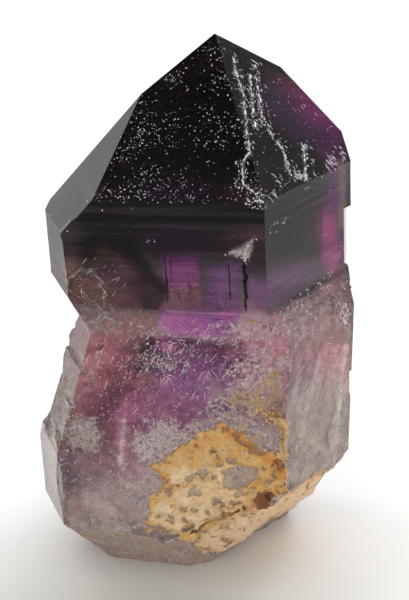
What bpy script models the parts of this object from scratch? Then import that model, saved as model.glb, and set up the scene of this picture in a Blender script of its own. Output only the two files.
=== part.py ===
"""Amethyst crystal: a dark, wide-shouldered head grown on a paler lower crystal.

Metres, +Z up. The front prism face looks towards -Y. The crystal stands on the flat cut where it
left its rock, and the origin is on that cut, under the middle of the crystal's box.

Both growths share one long axis. A face is given by the azimuth of its outward normal, in degrees
from -Y towards +X, and by its distance from the point where that axis meets the floor. Sizes in the
tables are millimetres.
"""
import math

import bpy
import bmesh
from mathutils import Matrix, Vector, noise

MM = 0.001

# Where the long axis stands, seen from the middle of the box
AXIS = Vector((2.03 * MM, -1.15 * MM, 0.0))

# Quartz's rhombohedral faces lean 38.2 degrees up from the prism faces
TIP_LIFT = 38.2

# The head: distances of its prism faces and of its tip faces
HEAD_PRISM = {0: 10.9, 60: 14.1, 120: 18.2, 180: 13.6, -120: 15.0, -60: 18.4}
HEAD_TIP = {0: 42.2, 60: 44.8, 120: 49.9, 180: 45.8, -120: 43.3, -60: 45.3}
HEAD_FOOT = 33.0

# The head's underside, where it overhangs: (distance, height) at its edge and down at the neck
UNDERSIDE = {
    0: ((10.9, 40.1), (10.3, 36.1)),
    -60: ((18.4, 41.3), (16.1, 36.2)),
    -120: ((15.0, 41.3), (10.6, 36.3)),
    180: ((13.6, 40.6), (12.2, 36.0)),
    120: ((18.2, 41.2), (17.0, 39.6)),
}

# The lower crystal: upright prism faces, then the leaning ones, by two (distance, height) points
LOWER_PRISM = {0: 11.9, 60: 16.1, 180: 14.2, -60: 21.6}
LOWER_LEANING = {
    0: ((11.9, 19.8), (10.3, 36.1)),
    60: ((16.1, 36.3), (14.1, 40.5)),
    120: ((16.1, 16.0), (17.3, 35.4)),
    180: ((14.2, 26.0), (12.2, 36.0)),
    -60: ((21.6, 19.2), (16.1, 36.2)),
    -120: ((17.2, 13.0), (13.2, 32.3)),
}
NECK_BACK_LEFT = ((13.2, 32.3), (10.6, 36.3))
LOWER_TOP = 43.0

# The bulge low on the back left, a later growth around the lower crystal
BULGE_PRISM = {0: 11.5, 60: 15.0, 120: 15.4, 180: 13.6, -60: 21.45, -120: 19.0}
BULGE_SHOULDER = ((19.0, 16.3), (17.1, 19.2))
BULGE_TOP = 21.6
BULGE_FOOT = 0.5

# The right edge of the head is worn back between two heights, past a distance
WORN_EDGE = {"azimuth": 90, "distance": 17.9, "low": 40.5, "high": 48.6}

# Growth steps: (azimuth, distance past which a step cuts, height of its tread, height that it clears)
STEPS = (
    (58, 14.40, 39.5, 3.0), (61, 15.00, 38.2, 2.6), (57, 15.62, 37.0, 2.4),
    (-61, 17.30, 31.0, 3.0), (-58, 18.95, 25.8, 3.0), (-60, 20.65, 21.2, 2.0),
    (-120, 14.00, 27.0, 3.0), (-118, 11.90, 33.9, 2.6), (180, 13.10, 30.5, 3.0),
    (122, 17.00, 34.0, 4.0), (120, 16.35, 23.5, 3.4),
)

# Broken faces at the bottom: (azimuth, lift, distance, relief, cell, seed)
BREAKS = {
    "front_left": (-4.2, -32.9, 6.5, 0.30, 1.7, 3),
    "left": (-56.5, -38.8, 11.7, 0.45, 1.8, 5),
    "front_right": (20.7, -31.4, 5.0, 1.05, 1.05, 7),
    "right": (57.4, -38.8, 2.9, 0.75, 1.3, 11),
    "back_right": (118.0, -20.0, 11.2, 0.8, 1.6, 13),
    "back": (178.0, -25.0, 9.4, 0.9, 1.5, 17),
    "back_left": (-122.0, -33.0, 12.0, 0.8, 1.8, 19),
}
BREAK_REACH = 62.0

# Relief of a broken surface: (share, size in cells) of its swells, splinters and fine grain
SWELLS = (1.0, 4.0)
SPLINTERS = (0.7, 2.6)
ROUGHNESS = (0.35, 1.1)
SINK = 0.25
SEED_STEP = 7.3

# Bruises and contact patches: (azimuth, lift, distance, across, height, size, depth, cell, seed)
PATCHES = {
    "left_facets": (-60, 17.93, 26.45, -5.0, 25.2, (10.0, 12.5), 0.40, 1.15, 23),
    "left_low": (-60, 0.0, 21.6, 2.5, 14.0, (6.0, 9.0), 0.30, 1.2, 27),
    "back_contact": (180, 0.0, 14.2, -1.0, 15.5, (18.0, 16.0), 0.80, 1.1, 29),
    "back_bruise": (120, 0.0, 18.2, 1.5, 50.0, (5.0, 7.5), 0.40, 0.9, 31),
    "corner_bruise": (30, 12.0, 26.1, 3.4, 54.6, (4.8, 2.6), 0.35, 0.55, 37),
    "front_chip": (0, 0.0, 10.9, 7.0, 48.5, (3.9, 3.4), 0.35, 0.5, 41),
    "head_corner": (0, 0.0, 10.9, -12.6, 43.2, (5.5, 4.4), 0.22, 0.7, 43),
    "shoulder": (60, 25.46, 31.3, 3.6, 38.6, (7.0, 3.6), 0.35, 0.7, 47),
    "neck_front": (0, -8.6, 4.8, 6.0, 38.2, (7.5, 2.8), 0.25, 0.6, 53),
}
PATCH_MARGIN = 1.3
PATCH_RAGGED = (0.25, 1.5)

# A rough slab rises clear of its face outside its outline, and how steeply its rim falls
CLEAR = 0.4
RIM = 5.0

# The rusty contact scar low on the front: its middle, its half axes and how far they are turned
SCAR_MIDDLE = (3.4, 16.4)
SCAR_HALF = (9.6, 8.4)
SCAR_TURN = 31.0
SCAR_SLAB = (27.0, 25.0)
SCAR_CELL = 0.72
SCAR_DEPTH = 0.42
SCAR_RAGGED = (0.34, 3.2)
SCAR_LUMPS = ((0.9, 2.3), (0.5, 1.1))
SCAR_SEED = 2.0
# Its pits: (across, height, radius, depth)
SCAR_PITS = (
    (1.1, 16.9, 1.1, 1.2), (2.9, 12.9, 0.9, 1.1), (11.0, 19.3, 1.0, 1.0),
    (-2.6, 14.6, 0.8, 0.7), (5.6, 21.4, 1.0, 0.6), (-5.4, 17.4, 0.9, 0.6),
)

# Etched channels down the right tip face and the gap under the scar's lower ridge: a radius, then
# points (across, back, height) from the axis
CHANNELS = (
    (0.26, (4.6, 2.0, 68.6), (5.4, 0.3, 66.6), (6.3, -1.4, 64.7), (7.0, -4.4, 61.9), (7.8, -6.9, 59.4),
     (7.0, -7.8, 58.4), (7.3, -9.4, 56.3), (8.9, -10.2, 55.4), (9.7, -10.8, 54.5)),
    (0.22, (7.0, 3.5, 66.9), (7.6, 1.5, 65.0), (8.6, -2.0, 61.7), (9.6, -2.4, 60.4), (11.2, -2.9, 58.3),
     (12.3, -4.9, 55.9)),
    (0.20, (6.7, 1.7, 66.2), (7.3, -0.9, 63.9), (8.0, -3.7, 61.3)),
    (0.24, (13.3, 0.2, 57.9), (13.6, -1.4, 56.5), (14.0, -3.6, 54.8)),
    (0.60, (-5.2, -11.2, 6.4), (-1.6, -11.2, 7.9), (1.9, -11.1, 9.9), (5.3, -11.1, 12.1),
     (9.0, -10.9, 14.0), (12.6, -10.6, 15.6)),
)

STOCK = 160.0
SLAB_THICK = 12.0
WELD = 0.01

AMETHYST_COLOR = (0.16, 0.08, 0.19)
AMETHYST_ROUGHNESS = 0.12


def facing(azimuth, lift=0.0):
    """Unit vector at an azimuth from -Y towards +X, lifted above the horizontal."""
    turn, rise = math.radians(azimuth), math.radians(lift)
    return Vector((math.sin(turn) * math.cos(rise), -math.cos(turn) * math.cos(rise), math.sin(rise)))


def face(azimuth, distance, lift=0.0):
    """A flat face: its outward normal and its distance from the foot of the axis."""
    return facing(azimuth, lift), distance * MM


def leaning(azimuth, points):
    """The face at an azimuth through two (distance, height) points."""
    (near, low), (far, high) = sorted(points, key=lambda point: point[1])
    lift = math.atan2(near - far, high - low)
    return face(azimuth, near * math.cos(lift) + low * math.sin(lift), math.degrees(lift))


def level(height, up):
    """A level face at a height, facing up or down."""
    side = 1.0 if up else -1.0
    return Vector((0.0, 0.0, side)), side * height * MM


def cut_block(faces):
    """A convex body: a block of stock cut off along each of the faces."""
    body = bmesh.new()
    bmesh.ops.create_cube(body, size=STOCK * MM)
    for normal, distance in faces:
        cut = bmesh.ops.bisect_plane(
            body, geom=body.verts[:] + body.edges[:] + body.faces[:],
            plane_co=normal * distance, plane_no=normal, clear_outer=True)
        rim = [item for item in cut["geom_cut"] if isinstance(item, bmesh.types.BMEdge)]
        if rim:
            bmesh.ops.contextual_create(body, geom=rim)
    bmesh.ops.recalc_face_normals(body, faces=body.faces[:])
    return body


def head_body():
    faces = [face(azimuth, distance) for azimuth, distance in HEAD_PRISM.items()]
    faces += [face(azimuth, distance, TIP_LIFT) for azimuth, distance in HEAD_TIP.items()]
    faces += [leaning(azimuth, points) for azimuth, points in UNDERSIDE.items()]
    faces.append(level(HEAD_FOOT, up=False))
    return cut_block(faces)


def lower_body():
    faces = [face(azimuth, distance) for azimuth, distance in LOWER_PRISM.items()]
    faces += [leaning(azimuth, points) for azimuth, points in LOWER_LEANING.items()]
    faces.append(leaning(-120, NECK_BACK_LEFT))
    faces += [level(LOWER_TOP, up=True), level(0.0, up=False)]
    return cut_block(faces)


def bulge_body():
    faces = [face(azimuth, distance) for azimuth, distance in BULGE_PRISM.items()]
    faces.append(leaning(-120, BULGE_SHOULDER))
    faces += [level(BULGE_TOP, up=True), level(BULGE_FOOT, up=False)]
    return cut_block(faces)


def band_body(azimuth, distance, low, high):
    """Everything past a distance between two heights: what a growth step or worn edge leaves empty."""
    normal, reach = face(azimuth, distance)
    return cut_block([(-normal, -reach), level(low, up=False), level(high, up=True)])


def slab_body(width, height, cell, relief):
    """A slab whose underside is rough: relief gives its height over the plane at (across, up)."""
    slab = bmesh.new()
    columns, rows = round(width / cell), round(height / cell)
    bmesh.ops.create_grid(slab, x_segments=columns, y_segments=rows, size=0.5)
    for vert in slab.verts:
        across, up = vert.co.x * width, vert.co.y * height
        vert.co = Vector((across, up, relief(across, up))) * MM
    top = bmesh.ops.extrude_face_region(slab, geom=slab.faces[:], use_keep_orig=True)
    for item in top["geom"]:
        if isinstance(item, bmesh.types.BMVert):
            item.co.z = SLAB_THICK * MM
    bmesh.ops.recalc_face_normals(slab, faces=slab.faces[:])
    return slab


def face_axes(normal):
    """The level direction across a face and the steepest one up it."""
    across = Vector((0.0, 0.0, 1.0)).cross(normal).normalized()
    return across, normal.cross(across)


def on_face(normal, point):
    """Places a slab on a face: its own +Z along the normal, its +Y up the face."""
    across, up = face_axes(normal)
    turn = Matrix((across, up, normal)).transposed().to_4x4()
    return Matrix.Translation(point) @ turn


def swell(spot, share, size):
    """Smooth noise with features of a size."""
    return share * noise.noise(spot / size)


def broken(relief, cell, seed):
    """Relief of a broken surface: splinters of unlike tilt, with fine roughness on them."""
    def height(across, up):
        spot = Vector((across, up, seed * SEED_STEP)) / cell
        nearest = noise.voronoi(spot / SPLINTERS[1])[0]
        splinter = SPLINTERS[0] * (nearest[1] - nearest[0])
        return relief * (swell(spot, *SWELLS) + splinter + swell(spot, *ROUGHNESS) - SINK)
    return height


def break_cutter(azimuth, lift, distance, relief, cell, seed):
    normal, reach = face(azimuth, distance, lift)
    slab = slab_body(BREAK_REACH, BREAK_REACH, cell, broken(relief, cell, seed))
    return slab, on_face(normal, normal * reach)


def patch_cutter(azimuth, lift, distance, across, height, size, depth, cell, seed):
    """A shallow broken patch on a face, deepest in its middle and clear of the face at its rim."""
    splinters = broken(depth, cell, seed)
    normal, reach = face(azimuth, distance, lift)
    side, up_face = face_axes(normal)
    climb = (height * MM - normal.z * reach) / up_face.z
    middle = normal * reach + side * across * MM + up_face * climb

    def relief(x, y):
        inside = 1.0 - 2.0 * math.hypot(x / size[0], y / size[1])
        inside += swell(Vector((x, y, seed)), *PATCH_RAGGED)
        if inside <= 0.0:
            return CLEAR * min(1.0, -RIM * inside)
        return min(1.0, 0.5 * RIM * inside) * (0.5 * splinters(x, y) - depth)

    slab = slab_body(size[0] * PATCH_MARGIN, size[1] * PATCH_MARGIN, cell, relief)
    return slab, on_face(normal, middle)


def scar_relief(across, up):
    """Depth of the rusty contact scar: lumpy within its ragged outline, clear of the face outside."""
    x, height = across + SCAR_MIDDLE[0], up + SCAR_MIDDLE[1]
    spot = Vector((x, height, SCAR_SEED))
    turn = math.radians(SCAR_TURN)
    along = across * math.cos(turn) + up * math.sin(turn)
    over = up * math.cos(turn) - across * math.sin(turn)
    inside = 1.0 - math.hypot(along / SCAR_HALF[0], over / SCAR_HALF[1])
    inside += swell(spot, *SCAR_RAGGED)
    (distance, lean_from), (neck, neck_height) = LOWER_LEANING[0]
    lean = max(0.0, height - lean_from) * (distance - neck) / (neck_height - lean_from)
    if inside <= 0.0:
        return CLEAR * min(1.0, -RIM * inside) - lean
    lumps = sum(swell(spot, share, size) for share, size in SCAR_LUMPS)
    depth = SCAR_DEPTH * min(1.0, RIM * inside) * (1.0 + lumps)
    for pit_x, pit_height, radius, pit_depth in SCAR_PITS:
        away = math.hypot(x - pit_x, height - pit_height) / radius
        depth += pit_depth * math.exp(-away * away)
    return -lean - depth


def scar_cutter():
    slab = slab_body(*SCAR_SLAB, SCAR_CELL, scar_relief)
    middle = Vector((SCAR_MIDDLE[0], -LOWER_PRISM[0], SCAR_MIDDLE[1])) * MM
    return slab, on_face(facing(0), middle)


def channel_body(radius, *points):
    """A channel: a thin square rod along the points, made from a curve."""
    curve = bpy.data.curves.new("channel", "CURVE")
    curve.dimensions = "3D"
    curve.bevel_depth = radius * MM
    curve.bevel_resolution = 0
    curve.use_fill_caps = True
    line = curve.splines.new("POLY")
    line.points.add(len(points) - 1)
    for spot, target in zip(points, line.points):
        target.co = (*(Vector(spot) * MM), 1.0)
    rod = bpy.data.objects.new("channel", curve)
    bpy.context.scene.collection.objects.link(rod)
    bpy.context.view_layer.update()
    mesh = bpy.data.meshes.new_from_object(rod.evaluated_get(bpy.context.evaluated_depsgraph_get()))
    body = bmesh.new()
    body.from_mesh(mesh)
    bmesh.ops.remove_doubles(body, verts=body.verts[:], dist=WELD * MM)
    bmesh.ops.recalc_face_normals(body, faces=body.faces[:])
    bpy.data.objects.remove(rod)
    bpy.data.curves.remove(curve)
    bpy.data.meshes.remove(mesh)
    return body


def cutters():
    """Name, body and place of everything that is cut from the crystal."""
    for number, (azimuth, distance, tread, clears) in enumerate(STEPS, 1):
        yield f"step_{number}", band_body(azimuth, distance, tread, tread + clears), None
    yield "worn_edge", band_body(*WORN_EDGE.values()), None
    for name, values in BREAKS.items():
        yield f"break_{name}", *break_cutter(*values)
    yield "scar", *scar_cutter()
    for name, values in PATCHES.items():
        yield name, *patch_cutter(*values)
    for number, values in enumerate(CHANNELS, 1):
        yield f"channel_{number}", channel_body(*values), None


def flat_material(name, color, roughness):
    material = bpy.data.materials.new(name)
    material.use_nodes = True
    shader = material.node_tree.nodes["Principled BSDF"]
    shader.inputs["Base Color"].default_value = (*color, 1.0)
    shader.inputs["Roughness"].default_value = roughness
    return material


def add_object(name, body, collection, place=None):
    mesh = bpy.data.meshes.new(name)
    body.to_mesh(mesh)
    body.free()
    item = bpy.data.objects.new(name, mesh)
    item.matrix_world = Matrix.Translation(AXIS) @ (place or Matrix())
    collection.objects.link(item)
    return item


def boolean(crystal, other, operation):
    """Joins another body to the crystal or cuts it away, and keeps that body as a guide."""
    other.hide_render = True
    other.display_type = "WIRE"
    change = crystal.modifiers.new(f"{operation.lower()} {other.name}", "BOOLEAN")
    change.operation = operation
    change.solver = "EXACT"
    change.object = other


def new_collection(name):
    collection = bpy.data.collections.new(name)
    bpy.context.scene.collection.children.link(collection)
    return collection


def main():
    for item in list(bpy.data.objects):
        bpy.data.objects.remove(item)
    parts = new_collection("amethyst crystal")
    guides = new_collection("cutters")

    crystal = add_object("crystal", lower_body(), parts)
    crystal.data.materials.append(flat_material("amethyst", AMETHYST_COLOR, AMETHYST_ROUGHNESS))
    boolean(crystal, add_object("bulge", bulge_body(), guides), "UNION")
    boolean(crystal, add_object("head", head_body(), guides), "UNION")
    for name, body, place in cutters():
        boolean(crystal, add_object(name, body, guides, place), "DIFFERENCE")
    under_floor = cut_block([level(0.0, up=True)])
    boolean(crystal, add_object("flat_cut", under_floor, guides), "DIFFERENCE")


main()
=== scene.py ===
"""Looks of the amethyst crystal: its fine surface, its colour zones, its flaws and the studio."""
import math

import bmesh
import bpy
import numpy as np
from mathutils import Matrix, Vector, noise


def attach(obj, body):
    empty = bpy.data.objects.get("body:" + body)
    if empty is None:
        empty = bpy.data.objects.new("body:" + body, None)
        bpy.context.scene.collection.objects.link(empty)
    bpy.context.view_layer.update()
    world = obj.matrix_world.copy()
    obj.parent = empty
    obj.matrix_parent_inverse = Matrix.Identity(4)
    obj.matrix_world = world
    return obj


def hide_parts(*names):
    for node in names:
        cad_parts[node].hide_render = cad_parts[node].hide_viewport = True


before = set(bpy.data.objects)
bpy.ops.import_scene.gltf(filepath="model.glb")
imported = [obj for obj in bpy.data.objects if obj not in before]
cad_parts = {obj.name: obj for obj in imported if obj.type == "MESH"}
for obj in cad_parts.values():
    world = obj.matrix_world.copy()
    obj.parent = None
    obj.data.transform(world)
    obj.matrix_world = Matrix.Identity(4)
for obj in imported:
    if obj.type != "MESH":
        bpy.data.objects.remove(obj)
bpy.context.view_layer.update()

MM = 0.001
NODE = "crystal"
BODY = "root"
SEED = 11

# The crystal's long axis, from which the faces are measured, stands beside the frame's origin
AXIS = np.array((2.03, -1.15, 0))

# Where the photograph was taken from: distance to the aim point on the axis, and the angles
AIM_HEIGHT = 36.5
CAMERA_DISTANCE = 200
CAMERA_AZIMUTH = 11.785
CAMERA_ELEVATION = 24.934
CAMERA_ROLL = -2.838
SENSOR = 36
FOCAL = 92.58

# Fine surface: longest edges in millimetres in front and behind, where the front ends, the least area
# of one plane that is a crystal face, the angle in degrees from which an edge shades sharp, how often
# normals are averaged for the broad way that the surface looks, and how far each seed shifts the noise
FINE_EDGE = 0.62
COARSE_EDGE = 0.98
FRONT_END = -3
MOST_HALVINGS = 12
WELD = 0.002
FACE_AREA = 14
SHARP_ANGLE = 24
BROAD_ROUNDS = 9
SEED_STEP = 17.3
TINY = 1e-12

# Azimuths of the prism faces, from -Y towards +X, and how far the tip faces lift, in degrees
FRONT, RIGHT, BACK_RIGHT, BACK, BACK_LEFT, LEFT = 0, 60, 120, 180, -120, -60
TIP_LIFT = 38.2

# Cosines of the angle to a face's direction, from which and at which the surface counts as that face
ON_PRISM = (0.52, 0.72)
ON_TIP = (0.93, 0.98)

# Heights of the neck's crease and of the head's foot, and how far in front of the axis the head's face is
CREASE = 36.1
HEAD_LOW = 40.1
HEAD_FRONT = 10.9

QUARTZ_IOR = 1.544
CLEARNESS = 0.82

# Colours by name, as red, green and blue out of 255
PALETTE = {
    "smoke": (13, 12, 14), "dusk": (46, 43, 46), "grape": (92, 34, 88), "iris": (76, 46, 90),
    "violet": (120, 46, 134), "magenta": (156, 50, 126), "rose": (166, 98, 122), "wine": (212, 116, 132),
    "plum": (84, 38, 78), "lilac": (152, 118, 128), "haze": (182, 166, 148), "umber": (110, 84, 72),
    "frost": (238, 230, 224), "shade": (122, 102, 104), "ochre": (214, 168, 98), "orange": (200, 122, 34),
    "cream": (228, 204, 168), "sand": (204, 172, 126), "rust": (158, 104, 54), "brown": (84, 52, 32),
    "olive": (104, 98, 80), "redbrown": (112, 54, 26), "blush": (236, 204, 170), "mist": (190, 164, 168),
    "white": (244, 242, 242), "black": (10, 9, 11),
}

# Etched channels on the head, as in the solid: points (across, back, height) from the axis
CHANNELS = (
    ((4.6, 2, 68.6), (5.4, 0.3, 66.6), (6.3, -1.4, 64.7), (7, -4.4, 61.9), (7.8, -6.9, 59.4),
     (7, -7.8, 58.4), (7.3, -9.4, 56.3), (8.9, -10.2, 55.4), (9.7, -10.8, 54.5)),
    ((7, 3.5, 66.9), (7.6, 1.5, 65), (8.6, -2, 61.7), (9.6, -2.4, 60.4), (11.2, -2.9, 58.3),
     (12.3, -4.9, 55.9)),
    ((6.7, 1.7, 66.2), (7.3, -0.9, 63.9), (8, -3.7, 61.3)),
    ((13.3, 0.2, 57.9), (13.6, -1.4, 56.5), (14, -3.6, 54.8)),
)

# Dark upright inclusions behind the head's front face: across, lowest, highest, width, depth
BARS = ((7.35, 41, 46.2, 0.34, 0.22), (5.45, 42, 46.3, 0.12, 0.2), (-1.7, 44.3, 47, 0.1, 0.2),
        (-2.4, 41.5, 46.8, 0.12, 0.25))
BAR_LINKS = 9

# Where fine dark twigs branch in the windows: lower and upper corner (across, height), and how many
TWIGS = (((-2.4, 40.5), (1.7, 43.4), 60), ((-1.9, 43), (1.4, 45.6), 14), ((2.8, 40.6), (5.6, 43.6), 16),
         ((-7, 40.6), (-3, 44), 26), ((-12.5, 40.6), (-7.5, 44.5), 22))

# Pits in the rust: across, height, radius
PITS = ((1.1, 16.9, 0.9), (2.9, 12.9, 0.8), (11, 19.3, 0.7), (6.2, 21.8, 0.8), (-4.3, 16.4, 0.7),
        (7.4, 21.2, 0.5), (5.7, 23.2, 0.5), (-1.6, 11.4, 0.5), (-0.4, 14.6, 0.4), (4, 16.6, 0.4),
        (-3.4, 10.4, 0.4), (8.9, 18.6, 0.4), (2.3, 20.8, 0.35))

# The red-brown hollow under the scar: across, height, radius
HOLLOW = (9.3, 13.5, 1.6)

# Painted highlight, white flakes crowded where the right shoulder glints: across the right face, height
GLINT = (8.9, 35.4)

# The bright bruise beside the first channel
BRUISE = (5.2, 0.3, 66.7)

# How many of each small kind of solid there are
SPARKLES = 3900
BRUISE_FLAKES = 1300
TICKS = 210
NEEDLES = 2300
FLAKES = 11000

# Small solids: how deep most of them sit, the lowest, and their distance along the channels
GRIT_SINK = 0.01
LOWEST_GRIT = 0.5
FILL_STEP = 0.055

# Crust: how far forward it may reach, how deep its back lies, and the mask from which it grows
FRONT_LIMIT = -12.45
CRUST_SINK = 0.12
CRUST_FROM = 0.08

# The board's half width, and the painted shadow on it, a softly darker pool: its middle, where it
# starts and ends to fade, its colour, and the board's
FLOOR_REACH = 6000
SHADOW_POOL_MIDDLE = (-2, -26, 0)
SHADOW_POOL_REACH = (2, 44)
SHADOW_POOL_COLOR = (0.56, 0.55, 0.5, 1)
BOARD_COLOR = (0.97, 0.97, 0.96, 1)

# Lamps: azimuth and power. Both stand at one height and distance and have one size
LAMPS = (("key", -115, 0.25), ("rim", 125, 0.45))
LAMP_ELEVATION = 52
LAMP_DISTANCE = 480
LAMP_SIZE = 200

# Cards that reflections alone see: tone and corners. Dark ones in front, and a gray one at each side
CARDS = (
    ("lower_card", 0.16, ((-170, -62, 1), (170, -62, 1), (190, -100, 112), (-155, -100, 112))),
    ("middle_card", 0.03, ((-155, -100, 112), (190, -100, 112), (220, -160, 290), (-120, -160, 290))),
    ("upper_card", 0.02, ((-170, -160, 290), (170, -160, 290), (220, -90, 520), (-120, -90, 520))),
    ("left_card", 0.62, ((-112, -10, 1), (-20, 94, 1), (-20, 94, 45), (-112, -10, 45))),
    ("right_card", 0.7, ((84, -40, 1), (52, 62, 1), (52, 62, 34), (84, -40, 34))),
)

# Uneven white sky: direction, where the change starts and ends, and the strength there. It is brighter
# behind at the left, and darker where the right tip face's reflection comes from
SKY = (((-0.84, 0.51, 0.18), 0.55, 0.98, 1.08), ((0.816, 0.31, 0.488), 0.9, 0.98, 0.3))

# Masks that the crust takes over from the skin, and how often its triangles are cut in four
CRUST_MASKS = ("crust", "cream", "orange", "under", "hollow", "speckled")
CRUST_CUTS = 1

rng = np.random.default_rng(SEED)


def linear(name):
    """A palette colour in linear light."""
    share = np.array(PALETTE[name]) / 255
    return np.where(share <= 0.04045, share / 12.92, ((share + 0.055) / 1.055) ** 2.4)


def facing(azimuth, lift=0):
    """Unit vector at an azimuth from -Y towards +X, lifted above the horizontal."""
    turn, rise = math.radians(azimuth), math.radians(lift)
    return np.array((math.sin(turn) * math.cos(rise), -math.cos(turn) * math.cos(rise), math.sin(rise)))


def ramp(values, low, high):
    """0 below low and 1 above high, with a soft passage between them."""
    share = np.clip((values - low) / (high - low), 0, 1)
    return share * share * (3 - 2 * share)


def length(rows):
    return np.linalg.norm(rows, axis=1)


def unit(rows):
    return rows / np.maximum(length(rows), TINY)[:, None]


def noises(spots):
    return np.array([noise.noise(spot) for spot in spots.tolist()])


def numbered_sides(faces, count):
    """Ends of the sides of triangles between a number of points, and which side each triangle has."""
    sides = np.sort(faces[:, [0, 1, 1, 2, 2, 0]].reshape(-1, 2), axis=1)
    keys, which = np.unique(sides[:, 0] * count + sides[:, 1], return_inverse=True)
    return np.column_stack(np.divmod(keys, count)), which.reshape(-1, 3)


def placed(name, data):
    """A new object in the scene."""
    item = bpy.data.objects.new(name, data)
    bpy.context.scene.collection.objects.link(item)
    return item


def smooth(mesh):
    mesh.polygons.foreach_set("use_smooth", np.ones(len(mesh.polygons), bool))


def look_from(azimuth, elevation, distance):
    """Place and turn of a camera or lamp that looks at the middle of the crystal's axis."""
    aim = Vector(AXIS * MM) + Vector((0, 0, AIM_HEIGHT * MM))
    away = Vector(facing(azimuth, elevation))
    turn = away.to_track_quat("Z", "Y").to_matrix().to_4x4()
    return Matrix.Translation(aim + away * distance * MM) @ turn


def photo_camera():
    """A camera at the photograph's place."""
    data = bpy.data.cameras.new("camera")
    data.sensor_width = SENSOR
    data.lens = FOCAL
    data.clip_start = 0.01
    camera = placed("camera", data)
    roll = Matrix.Rotation(math.radians(CAMERA_ROLL), 4, "Z")
    camera.matrix_world = look_from(CAMERA_AZIMUTH, CAMERA_ELEVATION, CAMERA_DISTANCE) @ roll
    bpy.context.scene.camera = camera


class Graph:
    """Adds nodes to a tree. Inputs go by name or number: values, names of colours or other outputs."""

    def __init__(self, tree):
        self.tree = tree

    def add(self, kind, inputs, output=0, **settings):
        node = self.tree.nodes.new("ShaderNode" + kind)
        for name, value in settings.items():
            setattr(node, name, value)
        self.connect(node, inputs)
        return node.outputs[output]

    def connect(self, node, inputs):
        for name, value in inputs.items():
            if isinstance(value, bpy.types.NodeSocket):
                self.tree.links.new(value, node.inputs[name])
            elif isinstance(value, str):
                node.inputs[name].default_value = (*linear(value), 1)
            else:
                node.inputs[name].default_value = value

    def math(self, operation, first, second):
        return self.add("Math", {0: first, 1: second}, operation=operation)

    def times(self, first, second):
        return self.math("MULTIPLY", first, second)

    def vectors(self, operation, first, second, output=0):
        return self.add("VectorMath", {0: first, 1: second}, output, operation=operation)

    def span(self, value, low, high, start=0, end=1):
        return self.add("MapRange",
                        {"Value": value, "From Min": low, "From Max": high, "To Min": start, "To Max": end},
                        interpolation_type="SMOOTHSTEP")


class Paint(Graph):
    """A material's node tree around its own shader."""

    def __init__(self, name):
        self.material = bpy.data.materials.new(name)
        self.material.use_nodes = True
        super().__init__(self.material.node_tree)

    def finish(self, inputs):
        self.connect(self.tree.nodes["Principled BSDF"], inputs)
        return self.material

    def place(self, scale=(1, 1, 1)):
        """Place on the piece in millimetres, times a scale along each axis."""
        spot = self.add("TexCoord", {}, "Object")
        return self.vectors("MULTIPLY", spot, tuple(v / MM for v in scale))

    def grain(self, size, detail=3, roughness=0.6, distortion=0, scale=(1, 1, 1)):
        return self.add("TexNoise",
                        {"Vector": self.place(scale), "Scale": 1 / size, "Detail": detail,
                         "Roughness": roughness, "Distortion": distortion})

    def mask(self, name):
        return self.add("Attribute", {}, "Fac", attribute_name=name)

    def blend(self, share, first, second, kind="MIX"):
        return self.add("Mix", {0: share, 6: first, 7: second}, 2, data_type="RGBA", blend_type=kind)

    def mixed(self, share, first, second):
        return self.add("Mix", {0: share, 2: first, 3: second}, 0, data_type="FLOAT")

    def bump(self, height, strength, distance):
        return self.add("Bump", {"Height": height, "Strength": strength, "Distance": distance * MM})


def quad(name, corners, material, hidden_from=()):
    """A flat rectangle of the studio."""
    mesh = bpy.data.meshes.new(name)
    mesh.from_pydata([Vector(corner) * MM for corner in corners], [], [range(len(corners))])
    mesh.materials.append(material)
    item = placed(name, mesh)
    for kind in hidden_from:
        setattr(item, "visible_" + kind, False)


def floor_material():
    """White board with a painted shadow, a softly darker pool, in front of the crystal."""
    paint = Paint("floor")
    away = paint.vectors("DISTANCE", paint.place(), SHADOW_POOL_MIDDLE, "Value")
    color = paint.blend(paint.span(away, *SHADOW_POOL_REACH), SHADOW_POOL_COLOR, BOARD_COLOR)
    return paint.finish({"Base Color": color, "Roughness": 0.9, "Specular IOR Level": 0.1})


def card_material(name, tone):
    return Paint(name).finish(
        {"Base Color": (tone, tone, tone, 1), "Roughness": 1, "Specular IOR Level": 0})


def lamp(name, azimuth, power):
    """A small soft lamp that looks at the middle of the crystal."""
    data = bpy.data.lights.new(name, "AREA")
    data.shape = "DISK"
    data.size = LAMP_SIZE * MM
    data.energy = power
    placed(name, data).matrix_world = look_from(azimuth, LAMP_ELEVATION, LAMP_DISTANCE)


def sky():
    """A white sky whose strength changes softly around a few directions."""
    world = bpy.data.worlds.new("studio")
    bpy.context.scene.world = world
    world.use_nodes = True
    graph = Graph(world.node_tree)
    spot = graph.add("TexCoord", {}, "Generated")
    parts = [graph.span(graph.vectors("DOT_PRODUCT", spot, direction, "Value"), start, end, 1, strength)
             for direction, start, end, strength in SKY]
    graph.connect(world.node_tree.nodes["Background"],
                  {"Strength": graph.times(*parts), "Color": (1, 1, 1, 1)})


def studio():
    """A pale floor under a white sky, dark and gray cards for the faces to mirror, and two soft lamps."""
    corners = [(x * FLOOR_REACH, y * FLOOR_REACH, 0) for x, y in ((-1, -1), (1, -1), (1, 1), (-1, 1))]
    quad("floor", corners, floor_material())
    for name, tone, corners in CARDS:
        quad(name, corners, card_material(name, tone),
             ("camera", "diffuse", "transmission", "volume_scatter", "shadow"))
    for name, azimuth, power in LAMPS:
        lamp(name, azimuth, power)
    sky()
    bpy.context.scene.view_settings.view_transform = "Standard"


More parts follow.
